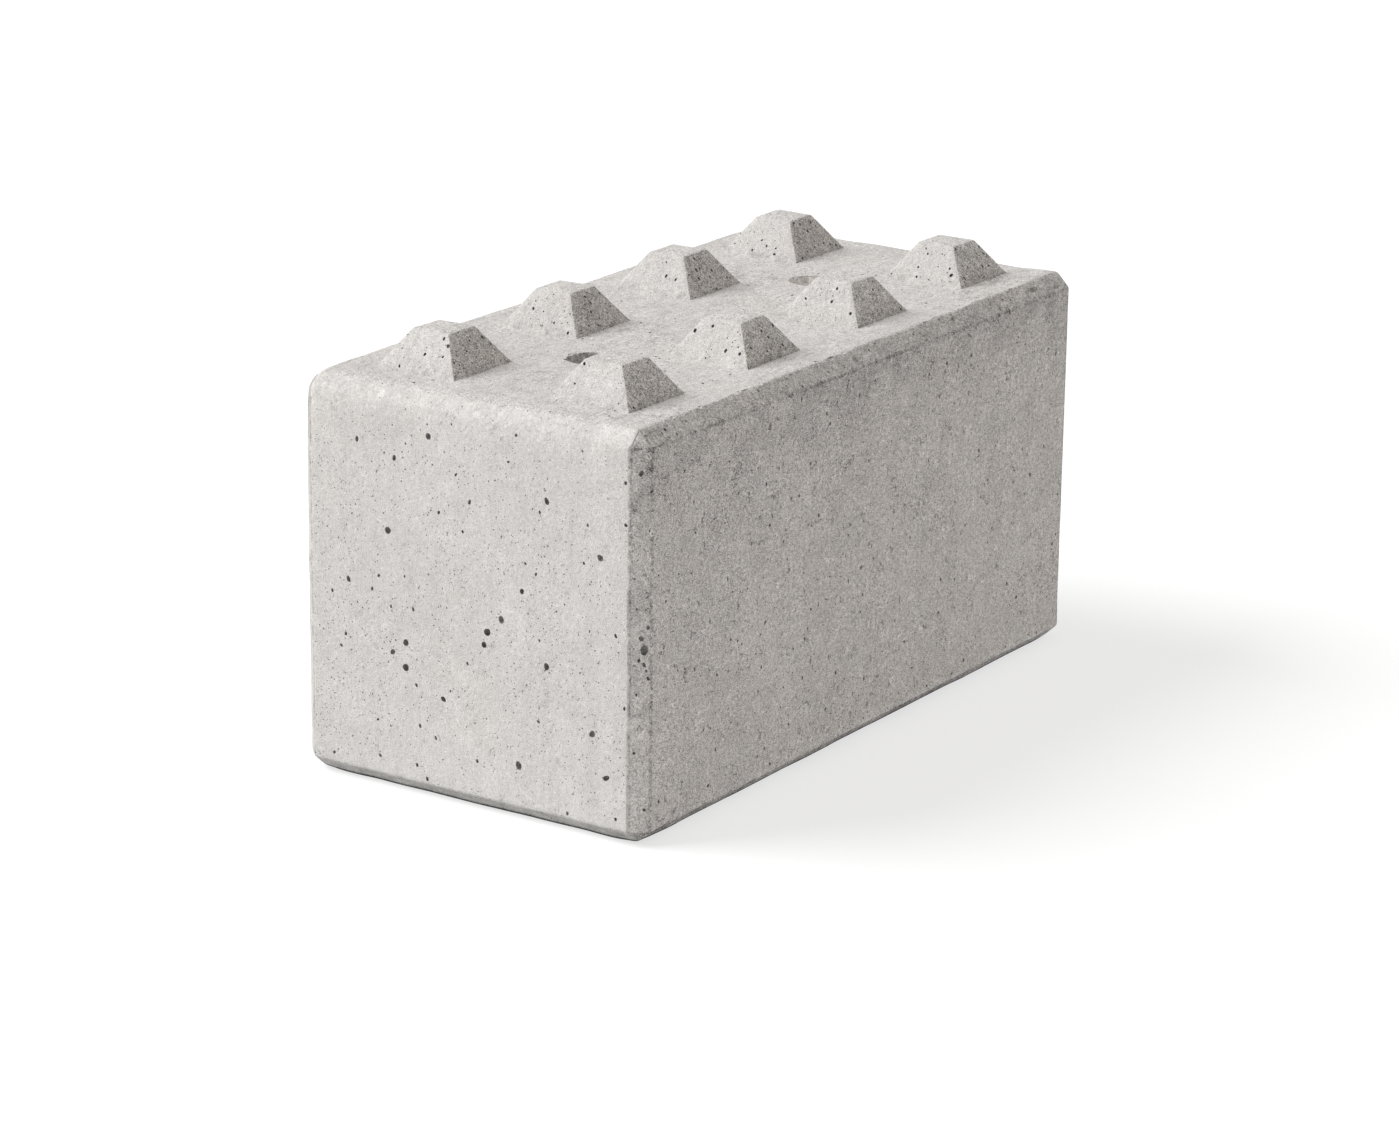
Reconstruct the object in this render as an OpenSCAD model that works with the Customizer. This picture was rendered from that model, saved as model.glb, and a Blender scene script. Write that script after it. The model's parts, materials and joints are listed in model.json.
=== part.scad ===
// Interlocking precast concrete barrier block: a chamfered rectangular casting
// with studs on top and matching pockets underneath, two cast-in lifting
// anchors, and a bar cage that stands on small mortar spacers.
// Millimetres. The origin is the centre of the base, +X runs along the block
// and +Z is up.

/* [Block] */
// Length of the block
block_l = 1600; // [1300:50:2400]
// Width of the block
block_w = 800; // [650:10:1000]
// Height of the top face, without the studs
block_h = 800; // [600:10:1000]
// Leg of the chamfer along every edge
chamfer = 30; // [10:1:40]

/* [Studs and pockets] */
// Centre distance between neighbouring studs, both ways
stud_pitch = 400; // [340:5:430]
// Side of a stud where it leaves the top face
stud_base = 186; // [140:1:230]
// Side of the flat on top of a stud
stud_top = 84; // [50:1:120]
// Height of a stud
stud_h = 74; // [50:1:95]
// Play all round between a stud and the pocket of the block above
stud_play = 6; // [2:1:12]

/* [Lifting anchors] */
// Radius of the round recess around an anchor's head
recess_r = 47; // [43:1:60]
// Depth of the top of the head below the top face
head_depth = 15; // [10:1:20]
// Diameter of the head
head_d = 36; // [30:1:40]
// Height of the head, down to where the shank begins
head_h = 20; // [16:1:26]
// Diameter of the shank
shank_d = 20; // [14:1:24]
// Diameter of the foot
foot_d = 50; // [40:1:70]
// Thickness of the foot's rim
foot_rim = 8; // [4:1:12]
// Length of the anchor, from the head to the foot
anchor_l = 240; // [120:5:340]

/* [Bar cage] */
// Concrete over the links at the sides and on top
cover = 50; // [35:1:70]
// Concrete between the pockets and the links
pocket_cover = 30; // [20:1:50]
// Diameter of the bars of the closed links
link_d = 10; // [6:1:14]
// Radius of a link's bends, on the bar's centre line
bend_r = 25; // [20:1:40]
// Centre distance between neighbouring links
link_pitch = 200; // [120:5:300]
// Diameter of the long bars
bar_d = 12; // [8:1:16]
// Gap between a long bar and the links, where the tie wire sits
tie_gap = 1; // [0.5:0.5:2]

/* [Spacers] */
// Side of a spacer's square foot
spacer_foot = 40; // [30:1:50]
// Side of a spacer's top, under the link
spacer_top = 26; // [22:1:30]
// Skin of cement between a spacer's foot and the underside
spacer_skin = 3; // [2:1:8]

/* [Hidden] */
$fn = 72;

// Studs
stud_cols = floor(block_l / stud_pitch);
stud_rows = floor(block_w / stud_pitch);
stud_xs = [for (i = [0 : stud_cols - 1]) (i - (stud_cols - 1) / 2) * stud_pitch];
stud_ys = [for (i = [0 : stud_rows - 1]) (i - (stud_rows - 1) / 2) * stud_pitch];

// Pockets: the stud's own slope, moved outwards by the play and deeper by it too
slope = (stud_base - stud_top) / 2 / stud_h;
pocket_depth = stud_h + stud_play;
pocket_mouth = stud_base + 2 * stud_play;
pocket_floor = pocket_mouth - 2 * slope * pocket_depth;
root = 5; // how far a stud or a pocket's cutter runs past its base

// Anchors stand midway between the outermost two columns of studs at each end
anchor_x = (stud_cols / 2 - 1) * stud_pitch;
head_z = block_h - head_depth;
head_round = head_h * 0.45;

// Cage, as lengths to the links' centre line
link_y = block_w / 2 - cover - link_d / 2;
link_low = pocket_depth + pocket_cover + link_d / 2;
link_high = block_h - cover - link_d / 2;
end_x = block_l / 2 - cover;

// Links stand half a pitch each side of an anchor, and a pitch apart from there
function outward(x) = x > end_x - link_d ? [] : concat([x], outward(x + link_pitch));
function inward(x) = x < link_pitch / 4 ? [] : concat(inward(x - link_pitch), [x]);
half_xs = concat(inward(anchor_x - link_pitch / 2), outward(anchor_x + link_pitch / 2));
half_n = len(half_xs);
link_xs = concat([for (i = [half_n - 1 : -1 : 0]) -half_xs[i]], half_xs);

// Long bars: one in each bend of the links, the rest against the straight legs
bend_inset = bend_r - (bend_r - link_d / 2 - tie_gap - bar_d / 2) / sqrt(2);
leg_inset = link_d / 2 + tie_gap + bar_d / 2;
bar_y = link_y / 3;
level_ys = [-link_y + bend_inset, -bar_y, bar_y, link_y - bend_inset];
level_insets = [bend_inset, leg_inset, leg_inset, bend_inset];
middle_z = (link_low + link_high) / 2;

// Spacers stand under the second link from each end, outside the pockets
spacer_link_x = link_xs[1];
pocket_edge_y = stud_ys[stud_rows - 1] + pocket_mouth / 2;
spacer_y = (pocket_edge_y + block_w / 2 - chamfer) / 2;
spacer_spots = [for (x = [spacer_link_x, -spacer_link_x], y = [-spacer_y, spacer_y]) [x, y]];

// A square frustum standing on z = 0, with a straight root below it
module frustum(base, top, height) {
    side = [
        [-base / 2, -root], [base / 2, -root], [base / 2, 0],
        [top / 2, height], [-top / 2, height], [-base / 2, 0]
    ];
    intersection() {
        rotate([90, 0, 0]) linear_extrude(base, center = true) polygon(side);
        rotate([90, 0, 90]) linear_extrude(base, center = true) polygon(side);
    }
}

// A box with every edge chamfered and a small triangle at each corner
module chamfered_box(size, c) {
    translate([0, 0, size.z / 2]) hull() {
        cube([size.x, size.y - 2 * c, size.z - 2 * c], center = true);
        cube([size.x - 2 * c, size.y, size.z - 2 * c], center = true);
        cube([size.x - 2 * c, size.y - 2 * c, size.z], center = true);
    }
}

module studs() {
    for (x = stud_xs, y = stud_ys)
        translate([x, y, block_h]) frustum(stud_base, stud_top, stud_h);
}

module pockets() {
    for (x = stud_xs, y = stud_ys)
        translate([x, y, 0]) frustum(pocket_mouth, pocket_floor, pocket_depth);
}

module concrete_block() {
    color("lightgray") difference() {
        union() {
            chamfered_box([block_l, block_w, block_h], chamfer);
            studs();
        }
        pockets();
        for (x = [-anchor_x, anchor_x])
            translate([x, 0, block_h]) sphere(recess_r);
        cast_in();
    }
}

// Everything that the concrete is cast around
module cast_in() {
    for (x = [-anchor_x, anchor_x]) lifting_anchor(x);
    for (x = link_xs) link(x);
    for (i = [0 : len(level_ys) - 1]) {
        bottom_bar(i);
        top_bar(i);
    }
    for (side = [-1, 1]) side_bar(side);
    for (i = [0 : len(spacer_spots) - 1]) spacer(i);
}

// Half outline of the anchor, down from the middle of the head's top
module anchor_outline() {
    head_r = head_d / 2;
    neck = head_h - head_round;
    hollow = head_r - shank_d / 2;
    polygon(concat(
        [[0, 0]],
        [for (a = [0 : 15 : 90]) [head_r - head_round * (1 - sin(a)), -head_round * (1 - cos(a))]],
        [for (a = [0 : 15 : 90]) [head_r - hollow * sin(a), -head_round - 2 - (neck - 2) * (1 - cos(a))]],
        [
            [shank_d / 2, -anchor_l + foot_rim + foot_d / 4],
            [foot_d / 2, -anchor_l + foot_rim],
            [foot_d / 2, -anchor_l],
            [0, -anchor_l]
        ]
    ));
}

module lifting_anchor(x) {
    color("silver") translate([x, 0, head_z]) rotate_extrude() anchor_outline();
}

// One quarter bend of a link, from its own corner of the rectangle
module link_bend() {
    rotate([90, 0, 90]) rotate_extrude(angle = 90)
        translate([bend_r, 0]) circle(d = link_d);
}

module link(x) {
    leg_y = link_y - bend_r;
    leg_z = (link_high - link_low) / 2 - bend_r;
    color("sienna") translate([x, 0, middle_z]) {
        for (z = [link_low - middle_z, link_high - middle_z])
            translate([0, 0, z]) rotate([90, 0, 0])
                cylinder(h = 2 * leg_y, d = link_d, center = true);
        for (y = [-link_y, link_y])
            translate([0, y, 0]) cylinder(h = 2 * leg_z, d = link_d, center = true);
        for (turn = [0 : 3])
            translate([0, (turn == 0 || turn == 3 ? 1 : -1) * leg_y, (turn < 2 ? 1 : -1) * leg_z])
                rotate([90 * turn, 0, 0]) link_bend();
    }
}

module long_bar(y, z) {
    color("sienna") translate([0, y, z]) rotate([0, 90, 0])
        cylinder(h = 2 * end_x, d = bar_d, center = true);
}

module bottom_bar(i) {
    long_bar(level_ys[i], link_low + level_insets[i]);
}

module top_bar(i) {
    long_bar(level_ys[i], link_high - level_insets[i]);
}

module side_bar(side) {
    long_bar(side * (link_y - leg_inset), middle_z);
}

// A mortar spacer with a saddle for the link that it carries
module spacer(i) {
    height = link_low - spacer_skin;
    outline = [
        [-spacer_foot / 2, 0], [spacer_foot / 2, 0],
        [spacer_top / 2, height], [-spacer_top / 2, height]
    ];
    color("darkgray") difference() {
        translate([spacer_spots[i].x, spacer_spots[i].y, spacer_skin]) intersection() {
            rotate([90, 0, 0]) linear_extrude(spacer_foot, center = true) polygon(outline);
            rotate([90, 0, 90]) linear_extrude(spacer_foot, center = true) polygon(outline);
        }
        link(spacer_spots[i].x);
    }
}

concrete_block();
lifting_anchor(-anchor_x);  // lifting_anchor_left
lifting_anchor(anchor_x);  // lifting_anchor_right
for (i = [0 : len(link_xs) - 1])
    link(link_xs[i]);
for (i = [0 : len(level_ys) - 1]) {
    bottom_bar(i);
    top_bar(i);
}
side_bar(-1);  // side_bar_front
side_bar(1);  // side_bar_back
for (i = [0 : len(spacer_spots) - 1])
    spacer(i);
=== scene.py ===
import json
import math
from types import SimpleNamespace

import bmesh
import bpy
import numpy as np
from mathutils import Matrix, Vector


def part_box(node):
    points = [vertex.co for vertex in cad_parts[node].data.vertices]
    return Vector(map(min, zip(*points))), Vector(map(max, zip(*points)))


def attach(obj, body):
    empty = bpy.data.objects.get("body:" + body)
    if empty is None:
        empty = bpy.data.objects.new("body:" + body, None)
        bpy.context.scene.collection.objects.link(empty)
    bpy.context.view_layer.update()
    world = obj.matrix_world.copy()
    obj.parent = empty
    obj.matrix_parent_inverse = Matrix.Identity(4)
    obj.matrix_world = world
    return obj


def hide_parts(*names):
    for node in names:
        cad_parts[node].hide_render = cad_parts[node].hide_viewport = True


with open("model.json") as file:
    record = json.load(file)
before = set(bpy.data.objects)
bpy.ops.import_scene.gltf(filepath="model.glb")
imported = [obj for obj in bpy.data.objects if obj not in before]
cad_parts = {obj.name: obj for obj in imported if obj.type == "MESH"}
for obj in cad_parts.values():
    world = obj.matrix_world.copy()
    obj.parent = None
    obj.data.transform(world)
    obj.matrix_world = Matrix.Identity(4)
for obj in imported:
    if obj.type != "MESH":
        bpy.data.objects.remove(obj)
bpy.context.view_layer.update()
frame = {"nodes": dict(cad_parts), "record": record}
print("frame loaded:", len(frame["nodes"]), "nodes")

record = frame["record"]
mountAt = {m["name"]: Vector(m["pos_m"]) for m in record["mounts"]}
topZ = mountAt["stud_field"].z  # the top face, at the feet of the studs


def newObject(name, data):
    thing = bpy.data.objects.new(name, data)
    bpy.context.scene.collection.objects.link(thing)
    return thing


cameraView = {
    "azimuth": -56.5,  # degrees; 0 looks along +Y
    "elevation": 17.04,
    "roll": 0.645,
    "distance": 8.986,  # metres from the middle of the block
    "slideRight": -0.007,
    "slideUp": -0.104,
    "lens": 114.5,
}


def makeCamera(v):
    # back, right and up are the axes of a camera on a sphere round the block,
    # turned by the roll; the camera then slides in its own plane
    a, e, r = (math.radians(v[k]) for k in ("azimuth", "elevation", "roll"))
    back = Vector((math.sin(a) * math.cos(e), -math.cos(a) * math.cos(e), math.sin(e)))
    right = Vector((math.cos(a), math.sin(a), 0))
    up = back.cross(right)
    side = right * math.cos(r) + up * math.sin(r)
    top = up * math.cos(r) - right * math.sin(r)
    target = Vector((0, 0, topZ / 2))
    spot = target + back * v["distance"] + side * v["slideRight"] + top * v["slideUp"]
    data = bpy.data.cameras.new("camera")
    data.lens = v["lens"]
    data.sensor_width = 36
    data.clip_end = 200
    camera = newObject("camera", data)
    turn = Matrix((side, top, back)).transposed().to_4x4()
    camera.matrix_world = Matrix.Translation(spot) @ turn
    bpy.context.scene.camera = camera


makeCamera(cameraView)
print("camera made")


def softNoise(p, cell, seed, lattice=32):
    # value noise: random numbers from -1 to 1 on a lattice of the given cell, blended with a smooth
    # step; the numbers come round again after lattice cells
    table = np.random.default_rng(seed).random((lattice,) * 3) * 2 - 1
    q = p / cell
    base = np.floor(q).astype(int)
    f = q - base
    f = f * f * (3 - 2 * f)
    total = 0.0
    for corner in range(8):
        step = np.array([corner & 1, (corner >> 1) & 1, (corner >> 2) & 1])
        i = (base + step) % lattice
        weight = np.where(step == 1, f, 1 - f).prod(axis=-1)
        total = total + table[i[..., 0], i[..., 1], i[..., 2]] * weight
    return total


def smoothStep(x, low, high):
    t = np.clip((x - low) / (high - low), 0, 1)
    return t * t * (3 - 2 * t)


def newMaterial(name, colour, roughness, metallic=0.0):
    material = bpy.data.materials.new(name)
    material.use_nodes = True
    shader = material.node_tree.nodes["Principled BSDF"]
    shader.inputs["Base Color"].default_value = (*colour, 1)
    shader.inputs["Roughness"].default_value = roughness
    shader.inputs["Metallic"].default_value = metallic
    return material, shader


def paintTools(material):
    # the few nodes that every finish is made of, and the place on the piece in metres
    tree = material.node_tree

    def add(kind, inputs=None, output=0, **settings):
        # makes a node, links or sets its inputs, and gives one of its outputs
        node = tree.nodes.new("ShaderNode" + kind)
        for key, value in settings.items():
            setattr(node, key, value)
        for key, value in (inputs or {}).items():
            if isinstance(value, bpy.types.NodeSocket):
                tree.links.new(value, node.inputs[key])
            else:
                node.inputs[key].default_value = value
        return node.outputs[output]

    def math2(kind, a, b=0.0):
        return add("Math", {0: a, 1: b}, operation=kind)

    def vector(kind, a, b):
        return add("VectorMath", {0: a, 1: b}, operation=kind)

    def scaled(colour, factor):
        return add("VectorMath", {0: colour, "Scale": factor}, operation="SCALE")

    def parts(value):
        return add("SeparateXYZ", {0: value}).node.outputs

    def times(product, *others):
        for value in others:
            product = math2("MULTIPLY", product, value)
        return product

    def least(value, *others):
        for other in others:
            value = math2("MINIMUM", value, other)
        return value

    def total(terms):
        # the weighted sum of (weight, value) pairs
        result = times(terms[0][1], terms[0][0])
        for weight, value in terms[1:]:
            result = add("Math", {0: value, 1: weight, 2: result}, operation="MULTIPLY_ADD")
        return result

    def noise(where, cells, detail=2.0, roughness=0.55):
        # fractal noise, its cells counted per metre, moved to swing evenly round zero
        n = add("TexNoise", {"Vector": where, "Scale": cells, "Detail": detail, "Roughness": roughness})
        return math2("SUBTRACT", n, 0.5)

    def ramp(value, low, high, toLow=0.0, toHigh=1.0):
        return add("MapRange", {0: value, 1: low, 2: high, 3: toLow, 4: toHigh},
                   interpolation_type="SMOOTHSTEP")

    def away(u, v, u0, v0):
        # distance in a plane from the line at (u0, v0)
        du, dv = math2("SUBTRACT", u, u0), math2("SUBTRACT", v, v0)
        return math2("SQRT", math2("ADD", times(du, du), times(dv, dv)))

    def finish(shader, colour, height):
        # the colour, and a bump from a height in metres
        bump = add("Bump", {"Height": height, "Distance": 1.0, "Strength": 0.8})
        tree.links.new(colour, shader.inputs["Base Color"])
        tree.links.new(bump, shader.inputs["Normal"])

    where = add("TexCoord", output="Object")
    x, y, z = parts(where)
    return SimpleNamespace(
        tree=tree, add=add, math2=math2, vector=vector, scaled=scaled, parts=parts, times=times,
        least=least, total=total, noise=noise, ramp=ramp, away=away, finish=finish, where=where,
        x=x, z=z, ax=math2("ABSOLUTE", x), ay=math2("ABSOLUTE", y))


concreteLook = {
    "colour": (0.574, 0.553, 0.534),
    # how strongly each size of noise shows, from the widest to the finest
    "cloud": 0.16,
    "mottle": (0.28, 0.44),  # on the ends and the top, and on the long sides
    "spots": 0.42,
    "grain": 1.10,
    "pores": 0.62,
    "contrast": (1.05, 3.0),  # of the three finest: on the ends, and on the long sides
    "topContrast": 1.0,  # added on the top
    "backContrast": 0.45,  # the back came off the mould smoother than the front
    # painted shade: the back is darker all over
    "backShade": 0.14,
    "studContrast": (0.25, 0.9),  # added on the studs: on the slopes towards the ends, and towards the sides
    "flecks": (0.30, 0.40),  # how pale, and how dark, the short scratches are
    "endFlecks": 0.4,  # share of that on the ends and the top
    "dashes": 0.22,  # how dark the upright slits of the long sides are
    "sideFootShade": 1.45,  # the painted shade at the foot of the long sides against that at the ends
    "sideShadeTint": (-0.011, -0.020),  # green and blue, added on the long sides: a painted warm cast of their shade
    # how pale or dark each mark is
    "endLine": 0.08,  # painted crease shade where the top chamfer of an end begins
    "sideShade": 0.09,  # painted shade: the long sides are darker towards the top
    "studSlopeLight": 0.08,  # painted light: the studs' slopes above them are paler
    "studBlotch": 0.60,
    # painted shade round the feet of the studs
    "studFoot": 0.22,
    "streaks": 0.14,
    "trowel": 0.27,  # brush marks on the top
    "seams": 0.30,  # the mould's joints
    "ragged": 0.80,  # blotches on the long top chamfers
    "wornEdge": 0.12,
    "underBand": 0.22,
    "corner": 0.24,  # painted shade on the upright chamfers
    "bloom": 0.15,
    # painted shade along the foot
    "foot": 0.50,
    "contactShadow": 0.60,  # a painted contact shadow along the ground
}


# the noises: cells per metre, detail, roughness
concreteNoise = {
    "cloud": (4.5, 3, 0.55),
    "mottle": (26, 4, 0.6),
    "spots": (110, 3, 0.6),
    "grain": (380, 2, 0.7),
    "warm": (7, 3, 0.55),
    "streaks": (34, 3, 0.55),  # stretched upwards
    "swept": (55, 4, 0.6),  # stretched along the block
    "ragged": (38, 5, 0.75),
    "studBlotch": (30, 5, 0.7),
    "wander": (30, 4, 0.65),  # what makes the long lines stray, and the fine shake of every line
    "shiver": (300, 1, 0.55),
    "shake": (200, 2, 0.55),
}

# the patches: cells per metre, detail, roughness, then the noise where a patch begins and where it is full
concretePatches = {
    "broken": (16, 4, 0.65, -0.14, 0.12),
    "dotted": (40, 4, 0.65, -0.16, 0.08),
    "worn": (45, 3, 0.55, -0.05, 0.12),
    "blotch": (9, 4, 0.65, -0.14, 0.12),
    "uprightShadeBlotch": (16, 5, 0.65, -0.12, 0.14),
    "bloom": (50, 4, 0.65, 0.0, 0.16),
    "studFootShade": (42, 4, 0.6, -0.05, 0.15),
    "scratched": (38, 2, 0.55, 0.10, 0.17),
}

# the lines: metres from the edge where a line begins and where it is full
concreteLines = {
    "topJoint": (0.0052, 0.0004),
    "uprightJoint": (0.0056, 0.0022),
    "facet": (0.0026, 0.0006),
    "rim": (0.0045, 0.0012),
    # the painted crease shade along the top chamfer of each end
    "endCreaseShade": (0.010, 0.001),
}

# the dots: cells per metre, share of the cells that have one, radius of the largest and softness, in cells
concreteDots = {
    "wide": (60, 0.26, 0.11, (0.035, -0.03)),
    "small": (130, 0.45, 0.17, (0.035, -0.03)),
    "slit": (52, 0.28, 0.12, (0.040, -0.02)),
}


def cellDots(t, where, name):
    # a dot in the middle of some cells of a Voronoi pattern, of a size drawn by the cell's random colour
    cells, share, largest, soft = concreteDots[name]
    near = t.add("TexVoronoi", {"Vector": where, "Scale": cells, "Randomness": 1.0})
    drawn = t.parts(near.node.outputs["Color"])[0]
    size = t.ramp(drawn, 1 - share, 1.0, 0.0, largest)
    return t.ramp(t.math2("SUBTRACT", near, size), *soft)


def pattern(t, name, where=None):
    return t.noise(where or t.where, *concreteNoise[name])


def patch(t, name, where=None):
    *grain, low, high = concretePatches[name]
    return t.ramp(t.noise(where or t.where, *grain), low, high)


def line(t, name, distance, stray):
    return t.ramp(t.math2("ADD", distance, stray), *concreteLines[name])


def edgeLines(t):
    # dark broken lines where the parts of the mould met, the paler worn edge of the long chamfers, and a
    # painted crease shade where the top chamfer of each end begins
    hx, hy, c, r = halfX, halfY, chamfer, math.sqrt(0.5)
    stray = t.total([(0.016, pattern(t, "wander")), (0.0020, pattern(t, "shiver"))])
    shake = t.times(pattern(t, "shake"), 0.0030)
    broken = patch(t, "broken")
    top = t.times(line(t, "topJoint", t.away(t.ay, t.z, hy, topZ - c), stray), broken)
    upright = t.least(t.away(t.ax, t.ay, hx - c, hy), t.away(t.ax, t.ay, hx, hy - c))
    upright = t.times(line(t, "uprightJoint", upright, shake), patch(t, "dotted"))
    joints = t.math2("MAXIMUM", top, upright)
    # three lines go round the small facet at each top corner
    facets = []
    for u, v, w, u0, v0 in ((t.z, t.ax, t.ay, topZ - c, hx + hy - c),
                            (t.ax, t.ay, t.z, hx - c, hy + topZ - c),
                            (t.ay, t.ax, t.z, hy - c, hx + topZ - c)):
        facets.append(t.away(u, t.times(t.math2("ADD", v, w), r), u0, v0 * r))
    joints = t.math2("MAXIMUM", joints, line(t, "facet", t.least(*facets), shake))
    rim = t.times(line(t, "rim", t.away(t.ay, t.z, hy - c, topZ), stray), patch(t, "worn"))
    # painted crease shade where the top chamfer of each end begins
    endCreaseShade = t.times(line(t, "endCreaseShade", t.away(t.ax, t.z, hx, topZ - c), stray), broken)
    return joints, rim, endCreaseShade


def stains(t, look, upright):
    hx, hy, c = halfX, halfY, chamfer
    # a darker, blotchy strip on the long sides just below the top chamfer
    onSide = t.ramp(t.ay, hy - 0.012, hy - 0.004)
    below = t.times(t.ramp(t.z, topZ - c - 0.20, topZ - c - 0.01),
                    t.ramp(t.z, topZ - c + 0.004, topZ - c - 0.002))
    under = t.times(below, onSide, patch(t, "blotch"))
    # painted shade: the upright chamfers are darker towards the top, in blotches
    uprightShade = t.times(upright, t.ramp(t.z, 0.15, 0.72, 0.20, 1.0), patch(t, "uprightShadeBlotch"))
    # pale cement bloom along the top of the ends
    alongEnd = t.times(t.ramp(t.ax, hx - 0.075, hx - 0.02), t.ramp(t.z, topZ - 0.065, topZ - 0.012))
    bloom = t.times(alongEnd, patch(t, "bloom"))
    # damp, dusty foot
    # painted shade along the foot and its bottom chamfer, a little patchy
    foot = t.times(t.ramp(t.z, 0.034, 0.024), t.ramp(t.noise(t.where, 14, 4), -0.2, 0.2, 0.75, 1.0))
    foot = t.times(foot, t.ramp(t.ay, hy - c, hy - c + 0.004, 1.0, look["sideFootShade"]))
    # a painted contact shadow along the ground
    contactShadow = t.ramp(t.z, 0.0110, 0.0030)
    # painted shade round the feet of the studs, in patches
    studFootShade = t.times(t.ramp(t.z, topZ + 0.018, topZ + 0.001), t.ramp(t.z, topZ - 0.0015, topZ + 0.0015))
    studFootShade = t.times(studFootShade, patch(t, "studFootShade"))
    return [(-look["studFoot"], studFootShade), (-look["underBand"], under), (look["bloom"], bloom),
            (-look["foot"], foot), (-look["contactShadow"], contactShadow), (-look["corner"], uprightShade)]


def scratchMarks(t, look, facing):
    # short curved scratches, one set pale and one dark: thin bands where a noise crosses zero, in few places
    marks = []
    for cells, shift in ((52, 3.1), (45, 8.7)):
        moved = t.vector("ADD", t.where, (shift, shift, shift))
        thin = t.ramp(t.math2("ABSOLUTE", t.noise(moved, cells, 2)), 0.050, 0.012)
        few = t.times(patch(t, "scratched", moved), t.ramp(facing, 0.2, 0.8, look["endFlecks"], 1.0))
        marks.append(t.times(thin, few))
    return marks


def makeConcrete(look):
    material, shader = newMaterial("concreteSkin", look["colour"], 0.9)
    t = paintTools(material)
    hx, hy, c = halfX, halfY, chamfer
    names = ("cloud", "mottle", "spots", "grain", "warm", "ragged", "studBlotch")
    cloud, mottle, spots, grain, warm, torn, studPatch = (pattern(t, name) for name in names)
    # which way the surface faces, and where it is
    normalY, normalZ = t.parts(t.add("TexCoord", output="Normal"))[1:]
    facing = t.math2("ABSOLUTE", normalY)
    square = t.ramp(facing, 0.90, 0.97)
    back = t.ramp(normalY, 0.2, 0.8)
    up = t.ramp(normalZ, 0.8, 0.95)
    raised = t.ramp(t.z, topZ + 0.002, topZ + 0.006)
    upright = t.times(t.ramp(t.ax, hx - c - 0.001, hx - c + 0.001),
                      t.ramp(t.ay, hy - c - 0.001, hy - c + 0.001))
    onChamfer = t.times(t.ramp(t.ay, hy - c, hy - c + 0.003), t.ramp(t.z, topZ - c - 0.001, topZ - c + 0.002))
    # the long sides came off the mould rougher than the ends, and the top and the studs are open-grained
    contrast = t.ramp(facing, 0.2, 0.8, *look["contrast"])
    contrast = t.add("Math", {0: up, 1: look["topContrast"], 2: contrast}, operation="MULTIPLY_ADD")
    onStud = t.times(raised, t.ramp(facing, 0.2, 0.7, *look["studContrast"]))
    contrast = t.times(t.math2("ADD", contrast, onStud), t.ramp(upright, 0, 1, 1.0, 0.75))
    contrast = t.times(contrast, t.ramp(back, 0, 1, 1.0, look["backContrast"]))
    pore = t.math2("MAXIMUM", cellDots(t, t.where, "wide"), cellDots(t, t.where, "small"))
    slit = t.times(cellDots(t, t.vector("MULTIPLY", t.where, (1, 1, 0.45)), "slit"), square)
    grit = t.total([(look["spots"], spots), (look["grain"], grain), (-look["pores"], pore),
                    (-look["dashes"], slit)])
    # streaks run down from the top, brush marks lie along it, and its long chamfers are torn
    stretched = t.vector("MULTIPLY", t.where, (1, 1, 0.06))
    streaks = t.times(t.ramp(t.z, topZ, topZ - 0.05), pattern(t, "streaks", stretched))
    swept = t.vector("MULTIPLY", t.where, (0.25, 1, 1))
    swept = t.times(pattern(t, "swept", swept), up)
    ragged = t.times(torn, t.times(onChamfer, t.ramp(t.x, -0.5, 0.5, 0.9, 1.25)))
    # painted shade and light by face: the long sides darker towards the top, the back darker, the studs'
    # slopes towards the sides paler
    sideShade = t.times(square, t.ramp(t.z, 0.05, 0.65, 0.1, 1.0))
    studSlopeLight = t.times(raised, t.ramp(facing, 0.5, 0.8))
    joints, rim, endCreaseShade = edgeLines(t)
    paleMarks, darkMarks = scratchMarks(t, look, facing)
    tone = t.total([
        (look["studBlotch"], t.times(studSlopeLight, studPatch)), (-look["sideShade"], sideShade),
        (-look["backShade"], back), (look["studSlopeLight"], studSlopeLight), (look["cloud"], cloud),
        (look["streaks"], streaks), (-look["seams"], joints), (-look["endLine"], endCreaseShade),
        (look["wornEdge"], rim), (look["trowel"], swept), (look["ragged"], ragged),
        (look["flecks"][0], paleMarks), (-look["flecks"][1], darkMarks), *stains(t, look, upright),
    ])
    mottled = t.ramp(facing, 0.2, 0.8, *look["mottle"])
    tone = t.add("Math", {0: mottle, 1: mottled, 2: tone}, operation="MULTIPLY_ADD")
    tone = t.math2("ADD", t.add("Math", {0: grit, 1: contrast, 2: tone}, operation="MULTIPLY_ADD"), 1.0)
    # random warmth, and the painted warm cast of the shade on the long sides
    tint = t.add("CombineXYZ", {
        0: t.times(warm, 0.012), 1: t.times(facing, look["sideShadeTint"][0]),
        2: t.total([(look["sideShadeTint"][1], facing), (-0.014, warm)]),
    })
    colour = t.scaled(t.vector("ADD", look["colour"], tint), tone)
    height = t.total([(0.0016, spots), (0.0012, grain), (0.0030, mottle), (-0.0012, pore), (-0.0012, joints),
                      (0.0030, swept), (0.0075, ragged), (-0.0006, darkMarks)])
    t.finish(shader, colour, height)
    return material


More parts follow.
